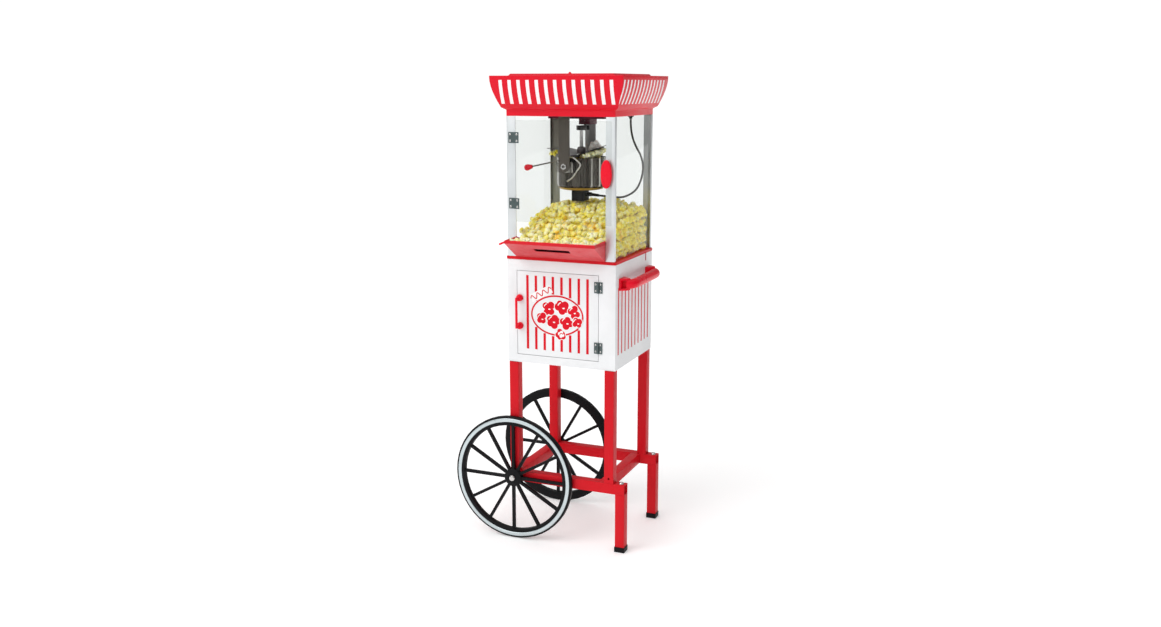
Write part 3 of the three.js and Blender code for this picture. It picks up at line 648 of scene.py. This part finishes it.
# Each leaf: its hinge, its own name, its body, its screws' x and y, and their radius and height.
HINGE_LEAVES = [
    ("glass_hinge", "post", "cart", -134.5, -141.1, 2.6, 1.2),
    ("glass_hinge", "door", "glass_door", -114.5, -145.2, 2.6, 1.2),
    ("cabinet_hinge", "frame", "cart", 109, -139.5, 2.2, 1.1),
    ("cabinet_hinge", "door", "cabinet_door", 96, -139.5, 2.2, 1.1),
]
HINGE_FOOT = {  # height of each hinge's lower end, and the hinges' length
    "glass_hinge": (("lower", 879), ("upper", 1043), 27),
    "cabinet_hinge": (("lower", 523), ("upper", 677.5), 28),
}


def add_hinge_screws():
    """Two screws in each leaf, a fifth of its length from its ends."""
    for hinge, leaf, body, x, y, radius, height in HINGE_LEAVES:
        *levels, high = HINGE_FOOT[hinge]
        for level, z in levels:
            places = [at(x, y, z + high * share) for share in (0.2, 0.8)]
            add_screws(f"{hinge}_{level}_{leaf}", places, (0, -1, 0), radius, height, body)


add_hinge_screws()

# ---------------------------------------------------------------- printing


def flat_shape(outline, y, thick=0.15):
    """An outline of (x, z) points in millimetres as a thin layer of ink facing -Y."""
    bm = bmesh.new()
    face = bm.faces.new([bm.verts.new(at(x, y, z)) for x, z in outline])
    grown = bmesh.ops.extrude_face_region(bm, geom=[face])
    verts = [v for v in grown["geom"] if isinstance(v, bmesh.types.BMVert)]
    bmesh.ops.translate(bm, vec=(0, thick / 1000, 0), verts=verts)
    return bm


def puff_lobes(x, z, radius, lobes, seed):
    """Uneven discs round a middle, as (centre x, centre z, disc radius)."""
    rng = random.Random(seed)
    discs = [(x, z, 0.46 * radius)]
    for k in range(lobes):
        angle = 2 * math.pi * k / lobes + seed + rng.uniform(-0.25, 0.25)
        away = radius * rng.uniform(0.38, 0.58)
        disc = radius * rng.uniform(0.38, 0.52)
        discs.append((x + away * math.cos(angle), z + away * math.sin(angle), disc))
    return discs


def puff_outline(x, z, discs, margin=0.0):
    """The outline of overlapping discs, seen from the middle one."""
    points = []
    for i in range(120):
        way = (math.cos(2 * math.pi * i / 120), math.sin(2 * math.pi * i / 120))
        reach = 0.0
        for cx, cz, disc in discs:
            along = (cx - x) * way[0] + (cz - z) * way[1]
            across = (cx - x) * way[1] - (cz - z) * way[0]
            if abs(across) < disc + margin:
                reach = max(reach, along + math.sqrt((disc + margin) ** 2 - across ** 2))
        points.append((x + reach * way[0], z + reach * way[1]))
    return points


def stroke_outline(x, z, radius, start, sweep, wide, count=16):
    """The outline of an arc drawn with a pen of the given width."""
    angles = [start + sweep * i / count for i in range(count + 1)]
    outer = [(x + (radius + wide / 2) * math.cos(t), z + (radius + wide / 2) * math.sin(t)) for t in angles]
    inner = [(x + (radius - wide / 2) * math.cos(t), z + (radius - wide / 2) * math.sin(t)) for t in angles]
    return outer + inner[::-1]


def ellipse(x, z, a, b, count=96):
    angles = [2 * math.pi * i / count for i in range(count)]
    return [(x + a * math.cos(t), z + b * math.sin(t)) for t in angles]


# Printing on the cabinet, in millimetres from the cabinet's centre line.
DOOR_FACE = -137.5
OVAL = {"x": -10, "z": 611.5, "a": 72.5, "b": 52.5, "line": 4.2, "clear": 2}
DOOR_BAR = {"count": 8, "first": -92, "pitch": 23.6, "half": 3.4, "low": 518.8, "high": 710.8}
SIDE_BAR = {"count": 10, "first": -117, "pitch": 24.9, "wide": 6.8, "high": 171.4, "middle": 604.3,
            "x": 148.15}
INK = 0.2  # thickness of a printed bar


def door_stripes():
    """Upright bars, broken where they would cross the oval."""
    bars = []
    bottom, top, half = DOOR_BAR["low"], DOOR_BAR["high"], DOOR_BAR["half"]
    for i in range(DOOR_BAR["count"]):
        x = DOOR_BAR["first"] + DOOR_BAR["pitch"] * i
        spans = [(bottom, top)]
        across = 1 - ((x - OVAL["x"]) / (OVAL["a"] + OVAL["clear"])) ** 2
        if across > 0.02:
            reach = (OVAL["b"] + OVAL["clear"]) * math.sqrt(across)
            spans = [(bottom, OVAL["z"] - reach), (OVAL["z"] + reach, top)]
        for low, high in spans:
            corners = [(x - half, low), (x + half, low), (x + half, high), (x - half, high)]
            bars.append(flat_shape(corners, DOOR_FACE - INK))
    return bars


def ring_strip(x, z, a, b, wide, y):
    """An elliptical line of even width."""
    outer, inner = ellipse(x, z, a, b), ellipse(x, z, a - wide, b - wide)
    pieces = []
    for i in range(len(outer)):
        k = (i + 1) % len(outer)
        pieces.append(flat_shape([outer[i], outer[k], inner[k], inner[i]], y))
    return pieces


PUFFS = [  # (x, z, radius, lobes)
    (-34, 629, 20, 4), (5, 634, 21, 5), (36, 623, 18.5, 4),
    (-53, 601, 17, 4), (-21, 596, 19.5, 5), (16, 595, 19.5, 4), (46, 597, 16.5, 4),
]
LOW_PUFF = (0, 563, 15.5, 5)
WAVE = {"start": (-82, 651), "end": (-26, 680), "waves": 3.5, "swing": 6.0}


def drawn_puff(x, z, radius, lobes, seed, y):
    """A red puff with a white edge and curled white pen strokes: (red shapes, white shapes)."""
    discs = puff_lobes(x, z, radius, lobes, seed)
    red = [flat_shape(puff_outline(x, z, discs), y - 0.05)]
    white = [flat_shape(puff_outline(x, z, discs, 1.7), y)]
    white.append(flat_shape(stroke_outline(x, z, 0.62 * radius, 1.9, 0.9, 0.11 * radius), y - 0.08))
    white.append(flat_shape(ellipse(x + 0.15 * radius, z - 0.1 * radius, 0.16 * radius, 0.09 * radius, 24),
                            y - 0.08))
    return red, white


def wave_point(t):
    """A point on a plain hand-drawn wave, from 0 to 1 along it."""
    (x0, z0), (x1, z1) = WAVE["start"], WAVE["end"]
    along = Vector((x1 - x0, z1 - z0))
    across = Vector((-along.y, along.x)).normalized()
    swing = WAVE["swing"] * math.sin(2 * math.pi * WAVE["waves"] * t)
    return Vector((x0, z0)) + along * t + across * swing


def wave_strip(wide, y, count=84):
    """The wave as a ribbon of even width, made of lengths that share their edges."""
    rails = []
    for i in range(count + 1):
        ahead = wave_point((i + 0.5) / count) - wave_point((i - 0.5) / count)
        side = Vector((-ahead.y, ahead.x)).normalized() * wide / 2
        middle = wave_point(i / count)
        rails.append((tuple(middle - side), tuple(middle + side)))
    return [flat_shape([a[0], b[0], b[1], a[1]], y) for a, b in zip(rails, rails[1:])]


def wave_ground(half, y):
    """A plain white band behind the wave, cut out of the bars."""
    (x0, z0), (x1, z1) = WAVE["start"], WAVE["end"]
    side = Vector((-(z1 - z0), x1 - x0)).normalized() * half
    ends = [(x0 - side.x, z0 - side.y), (x1 - side.x, z1 - side.y)]
    return flat_shape(ends + [(x1 + side.x, z1 + side.y), (x0 + side.x, z0 + side.y)], y)


def add_door_print():
    """A row of bars behind an oval that holds a heap of plain drawn puffs."""
    red = door_stripes()
    red += ring_strip(OVAL["x"], OVAL["z"], OVAL["a"], OVAL["b"], OVAL["line"], DOOR_FACE - INK)
    white = []
    for i, (x, z, radius, lobes) in enumerate(PUFFS):
        reds, whites = drawn_puff(x, z, radius, lobes, i + 1, DOOR_FACE - 0.3 - 0.1 * i)
        red += reds
        white += whites
    white.append(wave_ground(10.5, DOOR_FACE - 0.3))
    red += wave_strip(2.6, DOOR_FACE - 0.4)
    x, z, radius, lobes = LOW_PUFF
    discs = puff_lobes(x, z, radius, lobes, 12)
    white.append(flat_shape(puff_outline(x, z, discs, 1.6), DOOR_FACE - 0.3))
    red.append(flat_shape(puff_outline(x, z, discs), DOOR_FACE - 0.4))
    white.append(flat_shape(puff_outline(x + 1, z + 1, puff_lobes(x + 1, z + 1, 0.62 * radius, 4, 3)),
                            DOOR_FACE - 0.5))
    red.append(flat_shape(stroke_outline(x + 2, z - 1, 0.3 * radius, 0.4, 2.6, 2.2), DOOR_FACE - 0.6))
    add_piece("cabinet_door_print_red", join(red), INK_RED, "cabinet_door", "red_paint", smooth=30)
    add_piece("cabinet_door_print_white", join(white), INK_WHITE, "cabinet_door", "white_paint", smooth=30)


def add_side_stripes():
    for side, sx in (("left", -1), ("right", 1)):
        bars = []
        for i in range(SIDE_BAR["count"]):
            y = SIDE_BAR["first"] + SIDE_BAR["pitch"] * i
            bm = bmesh.new()
            bmesh.ops.create_cube(bm, size=1)
            size = Matrix.Diagonal((INK / 1000, SIDE_BAR["wide"] / 1000, SIDE_BAR["high"] / 1000, 1))
            spot = at(sx * SIDE_BAR["x"], y, SIDE_BAR["middle"])
            bmesh.ops.transform(bm, matrix=Matrix.Translation(spot) @ size, verts=bm.verts)
            bars.append(bm)
        add_piece(f"cabinet_{side}_print", join(bars), INK_RED, "cart", "red_paint", smooth=30)


add_door_print()
add_side_stripes()

# ---------------------------------------------------------------- tray and roof details


TRAY = {"x": 119.7, "lip": (-208.5, 806), "back": (-141, 808), "slot": (-52, 44)}


def add_tray_details():
    """A rolled bead round the scoop's rim, and a lip and a pocket in painted shade at its finger slot."""
    x, front, back = TRAY["x"], TRAY["lip"], TRAY["back"]
    rim = [at(-x, *back), at(-x, *front), at(x, *front), at(x, *back)]
    add_piece("serving_tray_bead", tube(rim, 0.0016, 12), RED_PLASTIC, "serving_tray", "red_paint")
    ear = [at(-120, -209, 803), at(-127, -210, 800), at(-134, -210, 797)]
    add_piece("serving_tray_ear", tube(ear, 0.0026, 12), RED_PLASTIC, "serving_tray", "red_paint")
    left, right = TRAY["slot"]
    lip = [at(left, -184.5, 788.2), at(left - 2, -180, 784), at(left + 1, -177, 780.5)]
    lip += [at(left + 4, -175, 779.0), at(right - 4, -175, 779.0)]
    add_piece("serving_tray_slot_lip", tube(lip, 0.0009, 10), TRAY_RED, "serving_tray", "red_paint")
    bm = bmesh.new()
    corners = [(y, z) for y, z in ((-181.5, 788), (-172, 779), (-166, 781), (-175, 793))]
    ends = [[bm.verts.new(at(x, y, z)) for y, z in corners] for x in (left - 2, right + 2)]
    for k in range(1, 4):
        bm.faces.new((ends[0][k], ends[0][(k + 1) % 4], ends[1][(k + 1) % 4], ends[1][k]))
    for end in ends:
        bm.faces.new(end)
    add_piece("serving_tray_slot_pocket", bm, SHADE_MAROON, "serving_tray", "red_paint")


def add_roof_knob():
    knob = turned([(0, -1), (4, -1), (4, 1.4), (3, 2.6), (1.6, 4.2), (0, 4.8)], 24)
    add_piece("roof_knob", place(knob, at(-3, -68, 1212)), RED_PLASTIC, "cart", "red_plastic")


add_tray_details()
add_roof_knob()

# ---------------------------------------------------------------- popcorn


def flake_mesh(seed):
    """One popped kernel: a lumpy ball pushed out into a few rounded wings."""
    rng = random.Random(seed)
    bm = bmesh.new()
    bmesh.ops.create_icosphere(bm, subdivisions=3, radius=1)
    lobes = []
    for _ in range(rng.randint(7, 10)):
        way = Vector((rng.gauss(0, 1), rng.gauss(0, 1), rng.gauss(0, 1))).normalized()
        lobes.append((way, rng.uniform(0.55, 1.15), rng.uniform(0.16, 0.42)))
    drift = Vector((seed * 7.3, seed * 3.1, 0))
    for v in bm.verts:
        way = v.co.normalized()
        reach = 0.5
        for axis, size, wide in lobes:
            bulge = max(0.0, (way.dot(axis) - (1 - wide)) / wide)
            reach = max(reach, 0.42 + size * 0.62 * math.sqrt(bulge))
        reach += 0.17 * noise.noise(way * 4.2 + drift)
        v.co = way * reach
    mesh = bpy.data.meshes.new(f"flake_{seed}")
    bm.to_mesh(mesh)
    bm.free()
    return mesh


FLAKE_KINDS = [flake_mesh(seed) for seed in range(12)]


def scatter(name, spots, body, seed, size=(0.0085, 0.0118), material=None):
    """One piece made of flakes at the given points in metres."""
    rng = random.Random(seed)
    whole = bmesh.new()
    for spot in spots:
        turn = Euler([rng.uniform(0, 2 * math.pi) for _ in range(3)]).to_matrix().to_4x4()
        scale = Matrix.Scale(rng.uniform(*size), 4)
        start = len(whole.verts)
        whole.from_mesh(rng.choice(FLAKE_KINDS))
        whole.verts.ensure_lookup_table()
        bmesh.ops.transform(whole, matrix=Matrix.Translation(spot) @ turn @ scale,
                            verts=whole.verts[start:])
    return add_piece(name, whole, material or POPCORN, body, "popcorn", smooth=180)


# The heap, in millimetres from the cabinet's centre line.
CASE = {"x": 128.5, "back": 121, "floor": 766}
HEAP = {"peak": 886, "front": 803, "foot": -150, "run": 120}
STEP = 15.5  # between flakes
BURIED = 8  # a flake's middle lies this far under the heap's surface
CORE = {"drop": 16, "floor": 764}
TRAY_SHARE = -99  # popcorn in front of this lies on the tray and passes under the glass door
UNDER_DOOR = 829


def ease(value):
    """A smooth step from 0 to 1."""
    t = min(1, max(0, value))
    return t * t * (3 - 2 * t)


def heap_height(x, y):
    """Top of the heap in millimetres: full at the back and right, sloping to the left and the front."""
    top = HEAP["peak"] - 50 * ease((-x - 55) / 90) - 16 * ease((x - 60) / 80)
    top += 7 * noise.noise(Vector((x / 45, y / 45, 3.7)))
    return HEAP["front"] + (top - HEAP["front"]) * ease((y - HEAP["foot"]) / HEAP["run"])


def steps(low, high, size=STEP):
    """Numbers from low up to high, an even step apart."""
    value = low
    while value <= high:
        yield value
        value += size


def heap_spots():
    """Flakes over the heap's top and against the three panes."""
    rng = random.Random(5)
    side, back = CASE["x"], CASE["back"]
    spots = []

    def wobble():
        return rng.uniform(-4.2, 4.2)

    for y in steps(-22, back):
        for x in steps(-side, side):
            px, py = x + wobble(), y + wobble()
            px = max(-side, min(side, px))
            py = min(back, py)
            spots.append(at(px, py, heap_height(px, py) - BURIED + wobble()))
    for y in steps(-96, back):
        for x in (-side, side):
            for z in steps(CASE["floor"] + 1, heap_height(x, y) - 10):
                spots.append(at(x + rng.uniform(-1, 1), min(back, y + wobble()), z + wobble()))
    for x in steps(-side + STEP, side):
        for z in steps(CASE["floor"] + 1, heap_height(x, back) - 10):
            spots.append(at(x + wobble(), back + rng.uniform(-1, 1), z + wobble()))
    return spots


def slope_spots():
    """Flakes on the slope down to the tray's lip: those that stay in the case, and those on the tray."""
    rng = random.Random(8)
    on_heap, on_tray = [], []
    for y in steps(-192, -25, 14):
        for x in steps(-107, 107, 14.5):
            px, py = x + rng.uniform(-4, 4), y + rng.uniform(-4, 4)
            z = heap_height(px, py) - BURIED + rng.uniform(-4, 3)
            if py < -140:
                py = max(py, -189)
                scoop = 758 + (-141 - py) * 46 / 69  # the scoop's sloping floor
                z = max(798 + rng.uniform(-2, 4), scoop + 12.5)
            if py < TRAY_SHARE:
                on_tray.append(at(px, py, min(z, UNDER_DOOR)))
            else:
                on_heap.append(at(px, py, z))
    return on_heap, on_tray


def cut_face_spots():
    """Flakes on the face that the heap shows when the tray slides away from it."""
    rng = random.Random(9)
    spots = []
    for z in (774, 788, 802, 815):
        for i in range(15):
            x = -105 + 15 * i + rng.uniform(-4, 4)
            spots.append(at(x, TRAY_SHARE + 9 + rng.uniform(-3, 3), z))
    return spots


def add_core(name, body, x_half, y0, y1, low=CORE["floor"]):
    """The unseen middle of the heap: a lumpy mass that keeps light from passing between flakes."""
    bm = bmesh.new()
    nx, ny = 28, 20
    grid = []
    for j in range(ny + 1):
        row = []
        for i in range(nx + 1):
            x = -x_half + 2 * x_half * i / nx
            y = y0 + (y1 - y0) * j / ny
            z = heap_height(x, y) - CORE["drop"] + 4 * noise.noise(Vector((x / 9, y / 9, 1)))
            row.append((bm.verts.new(at(x, y, z)), bm.verts.new(at(x, y, low))))
        grid.append(row)
    for j in range(ny):
        for i in range(nx):
            corners = (grid[j][i], grid[j][i + 1], grid[j + 1][i + 1], grid[j + 1][i])
            bm.faces.new([c[0] for c in corners])
            bm.faces.new([c[1] for c in reversed(corners)])
    edge = [(grid[0][i], grid[0][i + 1]) for i in range(nx)]
    edge += [(grid[j][nx], grid[j + 1][nx]) for j in range(ny)]
    edge += [(grid[ny][i + 1], grid[ny][i]) for i in range(nx)]
    edge += [(grid[j + 1][0], grid[j][0]) for j in range(ny)]
    for a, b in edge:
        bm.faces.new((a[0], a[1], b[1], b[0]))
    add_piece(name, bm, POPCORN, body, "popcorn", smooth=60)


def add_heap():
    """The heap in the case, in two pieces, and the popcorn that slides out with the tray."""
    spots = heap_spots()
    on_heap, on_tray = slope_spots()
    spots += on_heap + cut_face_spots()
    half = len(spots) // 2
    scatter("popcorn_heap_a", spots[:half], "cart", 21)
    scatter("popcorn_heap_b", spots[half:], "cart", 22)
    scatter("popcorn_tray", on_tray, "serving_tray", 23)
    add_core("popcorn_core", "cart", 119, -19, 114)
    add_core("popcorn_front_core", "cart", 110, TRAY_SHARE + 3, -22, CORE["floor"] + 2)
    add_core("popcorn_tray_core", "serving_tray", 110, -138, TRAY_SHARE)


LID = {"hinge": 7, "z": 1008.6, "open": math.radians(22)}

SPILL = [(-66, -26, 1009), (-72, -31, 1013), (-60, -34, 1012), (-76, -22, 1010), (-66, -25, 1017),
         (-57, -28, 1017)]
ON_LID = [(20, 18, 1024), (30, 12, 1029), (24, 32, 1027), (36, 28, 1032), (28, 22, 1036), (20, 26, 1033),
          (34, 20, 1037), (26, 14, 1032)]


def add_kettle_popcorn():
    """Popcorn pushing the lids up, with a few flakes lying on top of them."""
    rng = random.Random(31)
    bowl, under = [], []
    for _ in range(46):
        angle, reach = rng.uniform(0, 2 * math.pi), 52 * math.sqrt(rng.random())
        if abs(reach * math.cos(angle)) > 9:
            bowl.append(at(reach * math.cos(angle), reach * math.sin(angle), rng.uniform(992, 998)))
    for i in range(7):
        for j in range(10):
            x = 21 + 6 * i + rng.uniform(-2.5, 2.5)
            y = -54 + 12 * j + rng.uniform(-3, 3)
            roof = LID["z"] + (x - LID["hinge"]) * math.tan(LID["open"]) - 7.5
            if math.hypot(x, y) < 57:
                under.append(at(x, y, max(1000, roof - rng.uniform(0, 5))))
    scatter("popcorn_kettle", bowl, "kettle", 41, (0.007, 0.0095))
    lift = scatter("popcorn_under_lid_right", under, "kettle", 42, (0.007, 0.0092), POPCORN_LIGHT)
    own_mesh(lift)
    spill = scatter("popcorn_under_lid_left", [at(*p) for p in SPILL], "kettle", 45, (0.0042, 0.006))
    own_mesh(spill)
    top = [at(*p) for p in ON_LID]
    scatter("popcorn_on_lid_right", top, "lid_right", 43, (0.008, 0.0105), POPCORN_PALE)
    scatter("popcorn_on_lid_left", [at(-52, 12, 1036)], "lid_left", 44, (0.006, 0.0075))


add_heap()
add_kettle_popcorn()

# ---------------------------------------------------------------- studio


def add_floor():
    bm = bmesh.new()
    bmesh.ops.create_grid(bm, x_segments=8, y_segments=8, size=60)
    n = Nodes("studio_floor")
    n.link(n.mix(n.noise(0.6, 2), (0.95, 0.95, 0.95, 1), (0.97, 0.97, 0.97, 1)), "Base Color")
    n.set(Roughness=0.7, Specular_IOR_Level=0.2, Emission_Color=(1, 1, 1, 1), Emission_Strength=0.2)
    floor = add_piece("studio_floor", bm, n.material, None, None)
    floor.location.z = -0.0005
    floor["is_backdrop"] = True


def add_sun(name, direction, power, spread):
    data = bpy.data.lights.new(name, "SUN")
    data.energy = power
    data.angle = math.radians(spread)
    light = bpy.data.objects.new(name, data)
    bpy.context.collection.objects.link(light)
    light.rotation_euler = Vector(direction).to_track_quat("-Z", "Y").to_euler()


def add_studio():
    """A soft surround, dimmer from the right and seen as white, with one broad light from the front left."""
    world = bpy.data.worlds.new("studio")
    world.use_nodes = True
    tree = world.node_tree

    def add(kind, **settings):
        node = tree.nodes.new(kind)
        for key, value in settings.items():
            setattr(node, key, value)
        return node

    way = add("ShaderNodeTexCoord").outputs["Generated"]

    def ramp(direction, values):
        """A strength that runs between two values from one side of the surround to the other."""
        dot = add("ShaderNodeVectorMath", operation="DOT_PRODUCT")
        tree.links.new(way, dot.inputs[0])
        dot.inputs[1].default_value = direction
        node = add("ShaderNodeMapRange")
        tree.links.new(dot.outputs["Value"], node.inputs[0])
        for name, value in zip(("From Min", "From Max", "To Min", "To Max"), values):
            node.inputs[name].default_value = value
        return node.outputs[0]

    lit = add("ShaderNodeMath", operation="ADD")
    tree.links.new(ramp((0.8, 0.6, 0), (-0.3, 0.9, 0.58, 0.24)), lit.inputs[0])
    tree.links.new(ramp((0, 0, 1), (0.55, 1.0, 0.0, 0.75)), lit.inputs[1])
    seen = add("ShaderNodeMix", data_type="FLOAT")
    tree.links.new(add("ShaderNodeLightPath").outputs["Is Camera Ray"], seen.inputs[0])
    tree.links.new(lit.outputs[0], seen.inputs[2])
    seen.inputs[3].default_value = 1.02
    background = tree.nodes["Background"]
    background.inputs["Color"].default_value = (1, 1, 1, 1)
    tree.links.new(seen.outputs[0], background.inputs["Strength"])
    bpy.context.scene.world = world
    add_sun("key_light", (0.5, 0.9, -0.85), 1.25, 45)
    bpy.context.scene.view_settings.view_transform = "Standard"


add_floor()
add_studio()

boxes = {"cad": CAD_BOX, "visual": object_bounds()}
{k: [[float(v) for v in corner] for corner in box] for k, box in boxes.items()}
